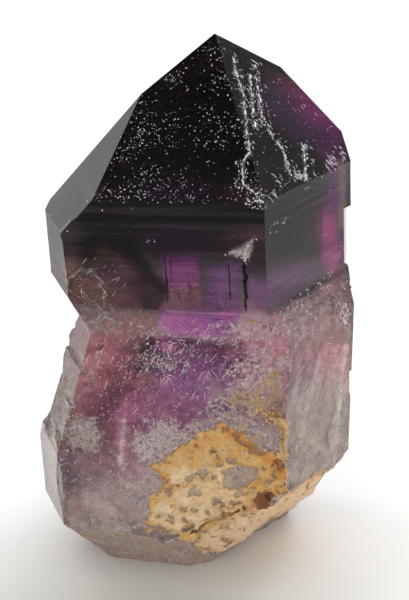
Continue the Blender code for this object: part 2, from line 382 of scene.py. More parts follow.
def halved(points, faces):
    """Points and triangles with each edge that is longer than the limit cut in half, and if any was."""
    edges, which = numbered_sides(faces, len(points))
    longest = np.where(points[edges, 1].mean(axis=1) < FRONT_END * MM, FINE_EDGE, COARSE_EDGE) * MM
    coarse = length(points[edges[:, 0]] - points[edges[:, 1]]) > longest
    if not coarse.any():
        return points, faces, False
    middle = np.full(len(edges), -1)
    middle[coarse] = len(points) + np.arange(coarse.sum())
    points = np.vstack((points, points[edges[coarse]].mean(axis=1)))
    cuts = middle[which]
    count = (cuts >= 0).sum(axis=1)
    # Turned so that the cut side comes first, or with two cuts the whole side comes last
    first = np.where(count == 1, np.argmax(cuts >= 0, axis=1), (np.argmin(cuts >= 0, axis=1) + 1) % 3)
    turn = (np.where(count % 3 == 0, 0, first)[:, None] + np.arange(3)) % 3
    corners, cuts = np.take_along_axis(faces, turn, 1), np.take_along_axis(cuts, turn, 1)
    a, b, c = corners.T
    ab, bc, ca = cuts.T
    pieces = (
        (0, (a, b, c)), (1, (a, ab, c)), (1, (ab, b, c)),
        (2, (ab, b, bc)), (2, (a, ab, bc)), (2, (a, bc, c)),
        (3, (a, ab, ca)), (3, (ab, b, bc)), (3, (ca, bc, c)), (3, (ab, bc, ca)),
    )
    return points, np.vstack([np.column_stack(piece)[count == cut] for cut, piece in pieces]), True


def fine_mesh():
    """The CAD solid with its long edges halved until the surface is evenly fine."""
    body = bmesh.new()
    body.from_mesh(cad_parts[NODE].data)
    bmesh.ops.remove_doubles(body, verts=body.verts[:], dist=WELD * MM)
    bmesh.ops.triangulate(body, faces=body.faces[:])
    body.verts.index_update()
    points = np.array([vert.co for vert in body.verts])
    faces = np.array([[vert.index for vert in face.verts] for face in body.faces])
    body.free()
    for _ in range(MOST_HALVINGS):
        points, faces, again = halved(points, faces)
        if not again:
            break
    mesh = bpy.data.meshes.new("fine")
    mesh.from_pydata(points, [], faces)
    mesh.update(calc_edges=True)
    return mesh


def read(items, name, width=3, kind=float):
    values = np.empty(len(items) * width, kind)
    items.foreach_get(name, values)
    return values.reshape(-1, width) if width > 1 else values


def from_line(across, height, x0, z0, x1, z1):
    """Distance of places on a face from the straight line between two others."""
    run, rise = x1 - x0, z1 - z0
    share = np.clip(((across - x0) * run + (height - z0) * rise) / (run * run + rise * rise), 0, 1)
    return np.hypot(across - x0 - share * run, height - z0 - share * rise)


def rotated(x, y, degrees):
    """Coordinates along and over an axis that is turned by some degrees."""
    turn = math.radians(degrees)
    return x * math.cos(turn) + y * math.sin(turn), y * math.cos(turn) - x * math.sin(turn)


class Skin:
    """The fine mesh's points, in millimetres from the axis, and what is known about the surface there."""

    def __init__(self, mesh):
        self.mesh = mesh
        self.spots = read(mesh.vertices, "co") / MM - AXIS
        self.edges = read(mesh.edges, "vertices", 2, np.int32)
        self.faces = read(mesh.polygons, "vertices", 3, np.int32)
        self.count = len(self.spots)
        self.degree = np.bincount(self.edges.ravel(), minlength=self.count).astype(float)
        corners = self.spots[self.faces]
        cross = np.cross(corners[:, 1] - corners[:, 0], corners[:, 2] - corners[:, 0])
        self.face_area = length(cross) / 2
        self.face_normals = unit(cross)
        total = np.zeros((self.count, 3))
        for corner in range(3):
            for axis in range(3):
                total[:, axis] += np.bincount(self.faces[:, corner], cross[:, axis], self.count)
        self.area = length(total)
        self.normals = unit(total)
        self.broken = self.spread(self.broken_share(), 3)
        broad = self.normals
        for _ in range(BROAD_ROUNDS):
            broad = self.spread(broad, 1)
        self.broad = unit(broad)
        self.fields = {}

    def spread(self, values, times):
        """Values averaged over each point and its neighbours, a number of times."""
        values = np.asarray(values, float)
        columns = values.reshape(self.count, -1)
        start, end = self.edges.T
        for _ in range(times):
            sums = [column + np.bincount(start, column[end], self.count)
                    + np.bincount(end, column[start], self.count) for column in columns.T]
            columns = np.stack([total / (1 + self.degree) for total in sums], axis=1)
        return columns.reshape(values.shape)

    def broken_share(self):
        """Share of small facets around each point: crystal faces are wide planes, broken ones aren't."""
        offset = np.einsum("ij,ij->i", self.face_normals, self.spots[self.faces[:, 0]])
        keys = np.column_stack((np.round(self.face_normals * 60), np.round(offset * 4))).astype(np.int64)
        _, group = np.unique(keys, axis=0, return_inverse=True)
        group = group.ravel()
        small = (np.bincount(group, self.face_area)[group] < FACE_AREA).astype(float)
        share, around = np.zeros(self.count), np.zeros(self.count)
        for corner in range(3):
            share += np.bincount(self.faces[:, corner], small * self.face_area, self.count)
            around += np.bincount(self.faces[:, corner], self.face_area, self.count)
        return share / np.maximum(around, TINY)

    def grain(self, size, seed=0, stretch=(1, 1, 1)):
        """Smooth noise from -1 to 1 with features of a size in millimetres."""
        key = (size, seed, stretch)
        if key not in self.fields:
            self.fields[key] = noises(self.spots * stretch / size + seed * SEED_STEP)
        return self.fields[key]

    def towards(self, azimuth):
        """1 where the surface broadly looks to an azimuth, 0 where it looks to the next face's."""
        return ramp(self.broad @ facing(azimuth), *ON_PRISM)

    def on_tip(self, azimuth):
        """1 on the tip face at an azimuth, 0 elsewhere."""
        return ramp(self.broad @ facing(azimuth, TIP_LIFT), *ON_TIP)

    def on_face(self, azimuth):
        """Place across the face at an azimuth, and height."""
        return rotated(self.spots[:, 0], self.spots[:, 1], azimuth)[0], self.spots[:, 2]

    def slanted(self, azimuth, size, reach, lean, seed):
        """Noise on the face at an azimuth, drawn out to a reach along a slanting direction."""
        along, over = rotated(*self.on_face(azimuth), lean)
        return noises(np.column_stack((along / reach, over / size, np.full(self.count, seed * SEED_STEP))))

    def oval(self, azimuth, x, z, half_width, half_height, soft, ragged, turn=0, size=2.2):
        """1 inside a ragged oval on the face at an azimuth, 0 outside it."""
        across, height = self.on_face(azimuth)
        along, over = rotated(across - x, height - z, turn)
        away = np.hypot(along / half_width, over / half_height) + ragged * self.grain(size)
        return (1 - ramp(away, 1 - soft, 1 + soft)) * self.towards(azimuth)

    def inside(self, corners, soft, ragged=0, size=2):
        """1 inside a many-sided outline on the front, 0 outside it."""
        across, height = self.on_face(FRONT)
        shift = ragged * self.grain(size, 3)
        nearest = np.full(self.count, np.inf)
        odd = np.zeros(self.count, bool)
        for (x0, z0), (x1, z1) in zip(corners, corners[1:] + corners[:1]):
            nearest = np.minimum(nearest, from_line(across, height, x0, z0, x1, z1))
            crosses = (z0 > height) != (z1 > height)
            with np.errstate(divide="ignore", invalid="ignore"):
                odd ^= crosses & (across < (x1 - x0) * (height - z0) / (z1 - z0) + x0)
        signed = np.where(odd, nearest, -nearest) + shift
        return ramp(signed, -soft, soft) * self.towards(FRONT)

    def streak(self, azimuth, x0, z0, x1, z1, width):
        """1 along a straight line on the face at an azimuth, 0 a width away from it."""
        away = from_line(*self.on_face(azimuth), x0, z0, x1, z1) + 0.45 * width * self.grain(1.1, 4)
        return (1 - ramp(away, 0.45 * width, width)) * self.towards(azimuth)

    def keep(self, name, values):
        """Stores a mask or a colour on the mesh's points."""
        color = np.ndim(values) == 2
        layer = self.mesh.attributes.new(name, "FLOAT_COLOR" if color else "FLOAT", "POINT")
        if color:
            values = np.column_stack((values, np.ones(self.count)))
        layer.data.foreach_set("color" if color else "value", np.ravel(values).astype(np.float32))


# Outlines on the front: corners (across, height)
SCAR = [(4.7, 28.7), (9, 30.3), (11.6, 28.4), (12.1, 23), (11.9, 18.9), (12.4, 16.7), (8.7, 14.2),
        (5.1, 12.1), (0.4, 9), (-2.4, 7.5), (-5.7, 8.5), (-6.9, 7.6), (-6.1, 13.1), (-4, 17.9),
        (-1.2, 20.6), (2.7, 23.5)]
OCHRE_BAND = [(-5.3, 18), (-3.4, 19.9), (-0.9, 21.6), (0.8, 23.2), (4.1, 24), (5.8, 23.6), (7.4, 21.8),
              (9.9, 20.1), (11.9, 19), (11.6, 16.9), (9.1, 17.9), (6.3, 19), (4.7, 18.6), (2.4, 18.7),
              (0.2, 18), (-2.5, 18.1), (-4.8, 17.1)]
CREAM_FIELD = [(-3.1, 18.1), (6.3, 18.7), (4.7, 15.5), (6.3, 13.8), (3.5, 12.4), (1.9, 9.8), (-2.5, 8.6),
               (-5.9, 9.3), (-5.9, 11.8), (-3.7, 13.1), (-3.1, 15)]
LOWER_BAND = [(-1.4, 6.5), (4.7, 10.6), (13, 16), (13.5, 16.9), (10.2, 15.4), (4.6, 12.3), (-2.3, 7.6)]
SPECKLED = [(4.1, 28.4), (11.6, 32.5), (12.4, 27.6), (11.6, 23.9), (9.9, 24.9), (7.4, 23.6), (4.6, 24.5)]
RIGHT_STREAK = [(10.9, 26), (11.8, 26.2), (12.3, 21.5), (11.6, 18.8), (10.3, 19.6), (11.3, 22)]
SMOOTH_SPOT = [(3.3, 18.5), (8.4, 18.9), (7.6, 15.5), (3.7, 15.2)]
CHIP = [(5, 47.9), (6.9, 48.7), (8.6, 50.1), (8.3, 48.4), (7.6, 46.6), (7, 47.6)]
MAGENTA_WINDOW = [(-2.7, 47.2), (1.7, 47.4), (1.6, 43.9), (-0.4, 43.2), (-2.2, 42.6)]
RED_WINDOW = [(-2.2, 43), (1.7, 44.2), (1.9, 40.4), (-2.6, 40.2)]
VIOLET_WINDOW = [(3, 46), (6.6, 46.8), (6.7, 40.4), (2.6, 40.3)]
EDGE_WINDOW = [(7.9, 44.8), (9.8, 44.2), (9.8, 40.4), (7.9, 40.4)]
NECK_OCHRE = [(5.2, 38.9), (7.6, 39.2), (10.7, 40.1), (10.9, 39.6), (8.6, 38.6), (8, 37.9), (7.4, 38.5)]
NECK_GLOW = [(-3.9, 39.9), (6.4, 39.9), (6, 36.6), (-2.2, 36.6)]

# Windows in the head's front: colour, outline, softness, strength
WINDOWS = (
    ("grape", MAGENTA_WINDOW, 0.5, 1), ("wine", RED_WINDOW, 0.6, 0.1), ("iris", VIOLET_WINDOW, 1.1, 0.9),
    ("iris", EDGE_WINDOW, 0.7, 0.9),
)

# Streaks: colour, strength, face, start and end (across, height), width
STREAKS = (
    ("olive", 0.75, RIGHT, 8.8, 28, 4.2, 19.2, 0.55), ("olive", 0.6, RIGHT, 7.6, 24.5, 5.2, 20.6, 0.35),
    ("frost", 0.35, RIGHT, 9.4, 33, 5.5, 17, 0.8), ("frost", 0.3, RIGHT, 3, 31, -1, 22, 0.7),
    ("frost", 0.5, FRONT, -8.8, 24.6, -9.7, 18.2, 0.3),
    ("frost", 0.2, FRONT, -13.6, 28.2, -11.8, 33.4, 0.7),
    ("black", 0.8, RIGHT, 6.7, 50.6, 6.3, 43.8, 0.4), ("sand", 0.5, RIGHT, 11.2, 54.6, 11, 46.6, 0.8),
    ("olive", 0.8, RIGHT, 10.9, 36.5, 11, 20.5, 0.4), ("frost", 0.5, RIGHT, 8.6, 29, 6, 14.5, 0.35),
    ("shade", 0.4, RIGHT, 1, 36, -2.5, 24, 0.5), ("olive", 0.5, RIGHT, 10, 22, 7, 15.5, 0.5),
    ("frost", 0.45, RIGHT, -3.6, 30, -4, 18, 0.5), ("rose", 0.4, RIGHT, 6.4, 35.5, 3.4, 24.5, 0.7),
    ("smoke", 0.6, FRONT, -5.5, 35.5, 6.5, 35.5, 0.55), ("smoke", 0.6, FRONT, 0.6, 43.8, 0.4, 40.6, 0.3),
    ("smoke", 0.6, FRONT, -0.9, 43, -0.7, 41, 0.2),
)

# Fine creases full of flakes: strength, face, start, end, width
CREASES = (
    (1.6, FRONT, -6.4, 36.4, 10.4, 36.3, 0.22), (3, FRONT, 8.2, 54.5, 10.4, 54.1, 0.5),
    (1.6, RIGHT, -3.4, 51.3, 0.2, 50.9, 0.3), (1.2, RIGHT, -4, 50.4, -1.2, 50, 0.25),
    (0.8, FRONT, -15, 36.6, -8, 39.8, 0.4), (1, LEFT, -2, 31, 1, 27, 0.4),
    (1, LEFT, 3, 33.5, 4.5, 26, 0.4), (0.8, LEFT, -5, 26, -1, 20, 0.4),
    (0.7, RIGHT, -6, 38.6, 9, 41, 0.5), (0.6, RIGHT, -5, 36.6, 8, 39.6, 0.3),
)

# Orange lines in the crust: strength, face, start, end, width
ORANGE_STREAKS = (
    (1, FRONT, 4, 24, 7.6, 21.4, 0.9), (1, FRONT, 7.6, 21.4, 10.2, 19.7, 0.7),
    (1, FRONT, 10.2, 19.7, 11.9, 18, 0.8), (1, FRONT, -4.8, 17.2, -2.5, 15, 0.55),
    (0.5, FRONT, -1, 20.6, 2.6, 22.6, 0.9), (0.7, FRONT, 7, 12.9, 12.4, 16.4, 0.8),
)

# Colour clouds by face: colour, strength, middle (across, height), half axes, soft, ragged, turn
CLOUDS = {
    FRONT: (
        ("wine", 0.95, -10.6, 30, 6.8, 7.2, 0.45, 0.4), ("plum", 0.8, -4, 26.5, 10, 6, 0.5, 0.45, 12),
        ("magenta", 0.5, -4.5, 25.5, 7, 3.6, 0.7, 0.5, 20), ("plum", 1, 0.5, 33.4, 9, 3, 0.3, 0.3),
        ("smoke", 0.5, -0.5, 33.4, 7, 2.2, 0.6, 0.4), ("violet", 0.45, 0.8, 30.4, 4.6, 2.6, 0.6, 0.4, 10),
        ("magenta", 0.9, -3, 35, 1.3, 0.8, 0.6, 0.3), ("smoke", 0.5, 4.6, 34.2, 2.6, 1.3, 0.7, 0.5),
        ("smoke", 0.45, -5.2, 34, 2.4, 1.6, 0.7, 0.5), ("rose", 0.5, -11, 19, 6.5, 4.5, 0.6, 0.4),
        ("mist", 0.6, -11, 11.5, 7, 4.5, 0.7, 0.5), ("plum", 0.8, -17.4, 17, 1.9, 4.2, 0.5, 0.4),
        ("plum", 0.5, 7.5, 26.5, 3.6, 2.6, 0.6, 0.4), ("lilac", 0.6, -11, 38.6, 7, 3, 0.4, 0.3),
        ("wine", 0.5, -8, 38, 3, 1.4, 0.5, 0.4), ("lilac", 0.6, 9, 38.3, 3.6, 3, 0.4, 0.3),
        ("umber", 0.95, -11.4, 42.2, 5.4, 3.4, 0.9, 0.7), ("sand", 0.3, -12.6, 41.8, 3.2, 2.2, 0.7, 0.6),
        ("lilac", 0.6, 10.6, 28, 2, 8, 0.6, 0.4),
    ),
    RIGHT: (
        ("haze", 0.7, 0, 21, 4, 5, 0.7, 0.5, 20), ("smoke", 0.5, 0, 49, 8, 6, 0.6, 0.3),
        ("violet", 1, 10, 51.6, 1.8, 4.5, 0.6, 0.25), ("magenta", 0.9, 8.6, 45.6, 2, 5, 0.6, 0.25, 10),
        ("iris", 0.9, -2, 42.4, 6, 2.2, 0.7, 0.3), ("iris", 0.8, 9, 60.4, 5, 3, 0.7, 0.3, -45),
        ("magenta", 1, 12.4, 60.6, 3.4, 2.3, 0.7, 0.3, -45), ("grape", 0.8, 12, 57, 3, 1.6, 0.7, 0.3),
        ("haze", 0.7, 8, 22, 8, 7, 0.7, 0.35), ("haze", 0.5, 8, 30, 2.5, 7, 0.7, 0.35, 35),
        ("rose", 0.4, 4, 33, 5, 4, 0.7, 0.35),
    ),
    BACK_RIGHT: (
        ("grape", 0.8, -2, 45, 5, 3.4, 0.5, 0.3), ("grape", 0.6, 3.4, 53, 3, 3, 0.6, 0.3),
        ("plum", 0.7, 0, 27, 7, 5.5, 0.6, 0.4),
    ),
    BACK: (
        ("grape", 0.5, 4.5, 42.6, 5, 2.2, 0.5, 0.3), ("wine", 0.3, -6, 42.6, 3.6, 2.2, 0.5, 0.3),
        ("magenta", 0.5, 3, 30, 8, 4.4, 0.6, 0.4, 8), ("wine", 0.6, -8, 26, 6, 6, 0.6, 0.4),
    ),
    BACK_LEFT: (
        ("grape", 0.7, 0, 45.5, 4.5, 3.6, 0.5, 0.3), ("plum", 0.7, -2, 27, 7, 6, 0.6, 0.4),
    ),
    LEFT: (
        ("umber", 0.8, 0, 15, 9, 11, 0.6, 0.3), ("umber", 0.3, 0, 43, 4, 2.6, 0.6, 0.3),
        ("haze", 0.3, 0, 24, 9, 12, 0.5, 0.3),
    ),
}

# Frosted patches: strength, turn, face, middle, half axes
FROSTS = (
    (0.8, 0, FRONT, -14.2, 22.3, 2.6, 2.6), (0.8, -10, FRONT, -3.4, 21.6, 4.6, 3.4),
    (0.62, 20, FRONT, 8.8, 32, 4.4, 3.4), (0.6, 30, FRONT, 6.2, 27.6, 5.4, 2.6),
    (0.6, 0, FRONT, -7.6, 13.6, 3.2, 2.6), (0.55, 0, FRONT, 9, 37.6, 4.2, 1.6),
    (0.5, 0, FRONT, -11.5, 38.8, 5.5, 2.4), (0.5, 0, FRONT, -12, 9, 7, 1.8),
    (0.5, 0, RIGHT, 2, 37, 8, 2.6), (0.35, 30, RIGHT, 0, 24, 3, 5),
    (0.7, 0, BACK, 3, 16, 9, 7), (0.6, 0, BACK_LEFT, 2, 20, 6, 5),
    (0.6, 0, BACK_RIGHT, 1, 17, 5, 6), (0.45, 0, LEFT, 0, 26, 4, 5),
)


def tints(skin):
    """The crystal's colour at each point: dark head, glowing neck, milky lower crystal, and its clouds."""
    height = skin.spots[:, 2] + 0.4 * skin.grain(3, 1)
    front, right = skin.towards(FRONT), skin.towards(RIGHT)
    color = np.tile(linear("lilac"), (skin.count, 1))

    def wash(name, share):
        color[:] = color + (linear(name) - color) * share[:, None]

    wash("haze", ramp(-height, -17, -6) * 0.7)
    wash("plum", ramp(skin.grain(8, 5), 0, 0.5) * 0.4)
    wash("haze", ramp(skin.grain(6, 6), 0.1, 0.5) * 0.5)
    wisps = skin.grain(1.5, 51, (1, 1, 0.22)) + 0.6 * skin.grain(0.8, 52, (1, 1, 0.35))
    wash("haze", ramp(wisps, -0.02, 0.3) * (0.25 + 0.55 * right))
    wash("umber", ramp(-wisps, 0.03, 0.32) * (0.2 + 0.45 * right))
    veils = skin.slanted(RIGHT, 0.8, 5, 62, 61) + 0.6 * skin.slanted(RIGHT, 0.35, 2.6, 55, 62)
    wash("mist", ramp(veils, 0.06, 0.34) * right * 0.85)
    wash("olive", ramp(-veils, 0.05, 0.34) * right * ramp(-height, -34, -26) * 0.9)
    wash("plum", ramp(-veils, 0.05, 0.34) * right * ramp(height, 24, 32) * 0.7)
    wash("lilac", ramp(height, CREASE - 0.3, CREASE + 0.3) * 0.6)
    wash("dusk", ramp(height, HEAD_LOW - 0.6, HEAD_LOW))
    wash("smoke", ramp(height + 1.2 * skin.grain(4, 7), 41.5, 48))
    bands = skin.grain(0.9, 12, (0.06, 0.06, 1)) + 0.5 * skin.grain(3, 13, (0.1, 0.1, 1))
    wash("dusk", ramp(bands, -0.1, 0.5) * front * ramp(-height, -55, -53) * ramp(height, 44, 48))
    for azimuth, clouds in CLOUDS.items():
        for name, strength, *shape in clouds:
            wash(name, skin.oval(azimuth, *shape) * strength)
    for name, outline, soft, strength in WINDOWS:
        wash(name, skin.inside(outline, soft, 0.35) * strength)
    for name, strength, *line in STREAKS:
        wash(name, skin.streak(*line) * strength)
    glow = skin.inside(NECK_GLOW, 0.9, 0.5)
    wash("violet", glow)
    lower = ramp(-height, -36, -34)
    veins = ramp(skin.grain(1.1, 53) + 0.5 * skin.grain(0.5, 54), 0.12, 0.42) * lower
    wash("rose", veins * ramp(height, 16, 20) * front * 0.4)
    depths = ramp(-skin.grain(1.6, 55) - 0.5 * skin.grain(0.7, 56), 0.1, 0.5) * lower
    wash("plum", depths * front * 0.45)
    wash("magenta", glow * ramp(skin.grain(2.5, 8), -0.1, 0.4) * 0.6)
    return color


def masks(skin):
    """How much the skin is frosted, rusty, lined by growth, broken and crusted at each point."""
    across, back, height = skin.spots.T
    low = 1 - ramp(height, CREASE + 1, HEAD_LOW)
    frost = 0.5 * skin.broken * (0.15 + 0.85 * low) + 0.18 * low
    for strength, turn, *place in FROSTS:
        frost = np.maximum(frost, strength * skin.oval(*place, 0.45, 0.45, turn, 1.6))
    frost = np.maximum(frost, skin.inside(CHIP, 0.25))
    under = (1 - ramp(height, 9, 17)) * ramp(-skin.broad[:, 2], 0.2, 0.5)
    stain = ramp(skin.grain(4.5, 9) + 0.6 * skin.grain(1.6, 10), -0.2, 0.6)
    band = np.maximum(skin.inside(OCHRE_BAND, 0.5, 0.7, 1.4),
                      skin.inside(RIGHT_STREAK, 0.4, 0.5, 1.2))
    cream = skin.inside(CREAM_FIELD, 0.7, 0.9, 1.6)
    speckled = skin.inside(SPECKLED, 1.6, 1.6, 1.2)
    lower = skin.inside(LOWER_BAND, 0.5, 0.6, 1.4)
    scar = skin.inside(SCAR, 0.9, 0.9, 1.8)
    orange = np.zeros(skin.count)
    for strength, *line in ORANGE_STREAKS:
        orange = np.maximum(orange, strength * skin.streak(*line))
    spotty = ramp(skin.grain(0.9, 14) + 0.5 * skin.grain(0.5, 15), 0, 0.4)
    neck = skin.inside(NECK_OCHRE, 0.25, 0.3, 0.8)
    low_scar = scar * (1 - ramp(height, 19, 23))
    right_under = under * ramp(across, -4, 2) * ramp(-skin.broad[:, 1], 0, 0.3)
    right_under = right_under * ramp(height, 1.2, 2.4)
    crust = np.maximum.reduce([band, 0.9 * cream, 0.95 * lower, 0.1 * speckled,
                               0.84 * low_scar * (0.45 + 0.55 * spotty), 0.95 * orange, 0.7 * neck * spotty,
                               0.62 * right_under])
    smooth_spot = skin.inside(SMOOTH_SPOT, 0.8, 0.5)
    away = np.hypot(across - HOLLOW[0], height - HOLLOW[1]) / HOLLOW[2]
    hollow = ramp(-away - 0.4 * skin.grain(0.9, 57), -1.1, -0.6) * (back < -2)
    crust = np.maximum(crust * (1 - 0.8 * smooth_spot), 0.7 * hollow)
    around = skin.spread(crust, 4)
    front_under = under * (0.3 + 0.7 * ramp(-skin.broad[:, 1], -0.2, 0.4))
    front_under = front_under * (0.75 + 0.25 * ramp(across, -6, 0))
    rust = np.maximum.reduce([crust, 0.85 * cream, 0.46 * speckled, 0.34 * scar, 0.62 * low_scar,
                              0.8 * around, front_under * (0.5 + 0.45 * stain), hollow])
    rust = rust * (1 - 0.3 * smooth_spot)
    stripes = ramp(height, HEAD_LOW, HEAD_LOW + 1) * ramp(-np.abs(skin.normals[:, 2]), -0.15, -0.05)
    return dict(frost=frost, rust=rust, cream=cream, stripes=stripes, broken=skin.broken, low=low,
                crust=crust, orange=orange, under=under, hollow=hollow, speckled=speckled)


def relief(skin, found):
    """Sinks the points by growth lines, hillocks, splinters and crumbs, and fills the head's front."""
    even = 1 - skin.broken
    lines = (0.5 + 0.5 * skin.grain(0.62, 21, (0.07, 0.07, 1))) * found["stripes"]
    hills = (0.5 + 0.5 * skin.grain(1.9, 22)) * 0.5 + (0.5 + 0.5 * skin.grain(0.8, 23)) * 0.5
    bumpy = found["low"] * (0.35 + 0.65 * found["frost"])
    splinters = np.abs(skin.grain(1, 24)) + 0.6 * np.abs(skin.grain(0.5, 25))
    crust = found["rust"] * (0.6 * np.abs(skin.grain(1.3, 26)) + 0.4 * np.abs(skin.grain(0.55, 27)))
    depth = (0.07 * lines * even + 0.16 * hills * bumpy * even
             + 0.26 * splinters * skin.broken + 0.42 * crust + 0.6 * found["hollow"])
    moved = skin.spots - skin.normals * depth[:, None]
    # The head's front face lies in one plane, apart from the chip
    chip = skin.inside(CHIP, 0.25)
    filled = (skin.towards(FRONT) * ramp(moved[:, 2], 44.8, 45.4) * ramp(-moved[:, 2], -52, -51.4)
              * ramp(-moved[:, 1], 9.8, 10.2) * (1 - 0.8 * chip))
    moved[:, 1] += (-HEAD_FRONT - moved[:, 1]) * filled
    skin.spots = moved
    skin.mesh.vertices.foreach_set("co", ((moved + AXIS) * MM).astype(np.float32).ravel())
    skin.mesh.update()


def amethyst_material():
    """See-through smoky quartz with painted zones, frosted and rusty skin, growth lines and grain."""
    paint = Paint("amethyst")
    grain, span, mask = paint.grain, paint.span, paint.mask
    blend, mixed, times = paint.blend, paint.mixed, paint.times
    low, stripes, rusty = mask("low"), mask("stripes"), mask("rust")
    fine = grain(0.28, 4, 0.7)
    medium = grain(0.9, 4, 0.65, 0.4)
    veil = grain(2.2, 5, 0.6, 1.4)
    mottle = times(span(fine, 0.34, 0.66, 0.72, 1.34), span(medium, 0.3, 0.7, 0.72, 1.32))
    mottle = times(mottle, span(veil, 0.32, 0.68, 0.72, 1.36))
    mottle = mixed(low, 1, mottle)
    lines = grain(0.3, 3, 0.6, 0, (0.035, 0.035, 1))
    banding = mixed(stripes, 1, span(lines, 0.35, 0.65, 0.72, 1.3))
    shade = times(mottle, banding)
    gray = paint.add("CombineColor", {0: shade, 1: shade, 2: shade})
    tint = paint.add("Attribute", {}, "Color", attribute_name="tint")
    color = blend(1, tint, gray, "MULTIPLY")

    ragged = span(grain(0.55, 5, 0.75, 0.3), 0.3, 0.7, -0.45, 0.45)
    frost = span(paint.math("ADD", mask("frost"), ragged), 0.4, 0.85)
    pale = blend(span(fine, 0.36, 0.56), "shade", "frost")
    color = blend(times(frost, 0.9), color, pale)

    patchy = span(grain(1.3, 5, 0.7, 0.6), 0.3, 0.7, -0.4, 0.4)
    rust = span(paint.math("ADD", rusty, patchy), 0.35, 0.65)
    earth = blend(span(grain(0.7, 4, 0.7), 0.38, 0.62), "sand", "ochre")
    cream = times(mask("cream"), span(medium, 0.3, 0.6, 0.5, 1))
    earth = blend(cream, earth, "cream")
    sandy = span(grain(0.9, 5, 0.7, 0.8), 0.42, 0.6)
    earth = blend(mask("under"), earth, blend(sandy, "blush", "sand"))
    earth = blend(mask("orange"), earth, "orange")
    crumbs = span(grain(0.3, 4, 0.75), 0.56, 0.66)
    earth = blend(times(crumbs, 0.5), earth, "brown")
    color = blend(times(rust, 0.88), color, earth)
    color = blend(mask("hollow"), color, "redbrown")

    rough = mixed(low, 0.1, 0.17)
    rough = mixed(times(mask("broken"), low), rough, 0.26)
    rough = mixed(frost, rough, 0.55)
    rough = mixed(rust, rough, 0.8)

    coat = paint.math("MAXIMUM", paint.math("MAXIMUM", frost, rust), times(low, 0.12))
    height = paint.math("ADD", times(lines, times(stripes, 0.35)), times(fine, coat))
    return paint.finish({
        "Base Color": color, "Roughness": rough, "Normal": paint.bump(height, 0.8, 0.12),
        "IOR": QUARTZ_IOR, "Transmission Weight": CLEARNESS, "Specular IOR Level": 0.4})


def crystal():
    """The crystal itself: the CAD solid with a fine skin."""
    mesh = fine_mesh()
    skin = Skin(mesh)
    skin.masks = found = masks(skin)
    skin.keep("tint", tints(skin))
    for name, values in found.items():
        skin.keep(name, values)
    relief(skin, found)
    smooth(mesh)
    mesh.set_sharp_from_angle(angle=math.radians(SHARP_ANGLE))
    mesh.materials.append(amethyst_material())
    piece = placed("amethyst_crystal", mesh)
    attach(piece, BODY)
    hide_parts(NODE)
    return skin


def add_piece(name, points, faces, material):
    """A piece of the object: a closed mesh, its points in millimetres from the axis."""
    mesh = bpy.data.meshes.new(name)
    mesh.from_pydata((np.asarray(points) + AXIS) * MM, [], faces)
    mesh.materials.append(material)
    piece = placed(name, mesh)
    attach(piece, BODY)
    return mesh


# Triangles of an eight-sided solid by its six tips
OCTAHEDRON = np.array([(0, 2, 4), (2, 1, 4), (1, 3, 4), (3, 0, 4),
                       (2, 0, 5), (1, 2, 5), (3, 1, 5), (0, 3, 5)])


def grit(name, middles, along, across, lengths, material):
    """Many small eight-sided solids: needles, flakes or grains by their three half lengths."""
    along = unit(along)
    thin = unit(np.cross(along, across))
    across = np.cross(thin, along)
    axes = np.stack((along, across, thin), axis=1) * np.asarray(lengths)[:, :, None]
    tips = np.stack((axes[:, 0], -axes[:, 0], axes[:, 1], -axes[:, 1], axes[:, 2], -axes[:, 2]), axis=1)
    points = (middles[:, None] + tips).reshape(-1, 3)
    faces = (OCTAHEDRON[None] + 6 * np.arange(len(middles))[:, None, None]).reshape(-1, 3)
    add_piece(name, points, faces, material)


def scattered(skin, weights, number):
    """Places on the skin, more of them where the weight is larger: points, outward, across and up."""
    weights = weights * skin.area * (skin.spots[:, 2] > LOWEST_GRIT)
    chosen = rng.choice(skin.count, number, p=weights / weights.sum())
    outward = skin.broad[chosen]
    across = unit(np.cross((0, 0, 1), outward))
    up = np.cross(outward, across)
    shift = rng.uniform(-FINE_EDGE / 2, FINE_EDGE / 2, (number, 2))
    return skin.spots[chosen] + across * shift[:, :1] + up * shift[:, 1:], outward, across, up


def turned(across, up, angles):
    """Directions in the surface, at angles in degrees from level."""
    angles = np.radians(angles)[:, None]
    return across * np.cos(angles) + up * np.sin(angles)


def mineral(name, pale, dark, size, roughness, transmission=0):
    """A grainy mineral of two tones."""
    paint = Paint(name)
    grain = paint.grain(size, 4, 0.7)
    color = paint.blend(paint.span(grain, 0.35, 0.65), dark, pale)
    return paint.finish({
        "Base Color": color, "Roughness": roughness, "Normal": paint.bump(grain, 0.5, 0.05),
        "Transmission Weight": transmission, "IOR": QUARTZ_IOR})


def sparkles(skin, material):
    """Tiny bright etch pits on the tip's front face, thinly also on the right one and all over the head."""
    tip = skin.on_tip(FRONT)
    weights = tip * ramp(skin.grain(3.2, 31) + 0.3 * skin.grain(1, 32), -0.4, 0.6) + 0.1 * tip
    weights += 0.1 * skin.on_tip(RIGHT)
    weights += 0.008 * ramp(skin.spots[:, 2], 40, 44)
    middles, outward, across, up = scattered(skin, weights, SPARKLES)
    size = 0.014 + 0.062 * rng.random(SPARKLES) ** 4
    lengths = np.column_stack((size * rng.uniform(1, 2, SPARKLES), size * 0.7, size))
    along = turned(across, up, rng.uniform(0, 180, SPARKLES))
    grit("tip_sparkles", middles - outward * GRIT_SINK, along, outward, lengths, material)


